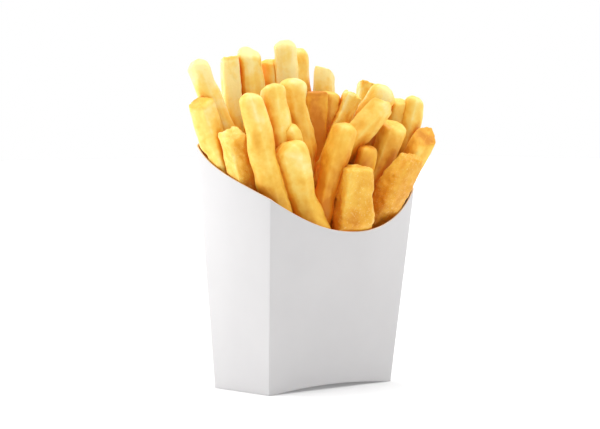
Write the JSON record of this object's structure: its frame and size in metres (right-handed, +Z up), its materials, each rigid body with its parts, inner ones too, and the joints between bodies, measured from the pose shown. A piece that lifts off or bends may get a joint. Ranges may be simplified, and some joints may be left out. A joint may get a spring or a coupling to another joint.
{
  "type": "french fries in a carton",
  "caption": "Thick-cut french fries standing in a plain white folded paperboard carton with a scooped front, a high back and an arched base, served as a takeaway portion.",
  "frame": {"origin": "on the surface the carton stands on, at the middle of the footprint of the whole, fries included", "axes": "+Z up; the scooped front panel faces -Y and the high back panel +Y; +X is to the right seen from the front"},
  "size_m": [0.1146, 0.0712, 0.1595],
  "materials": {
    "board": "smooth white coated paperboard, matt",
    "potato": null
  },
  "bodies": {
    "root": {"carton": "board", "fries": "potato"}
  },
  "joints": []
}
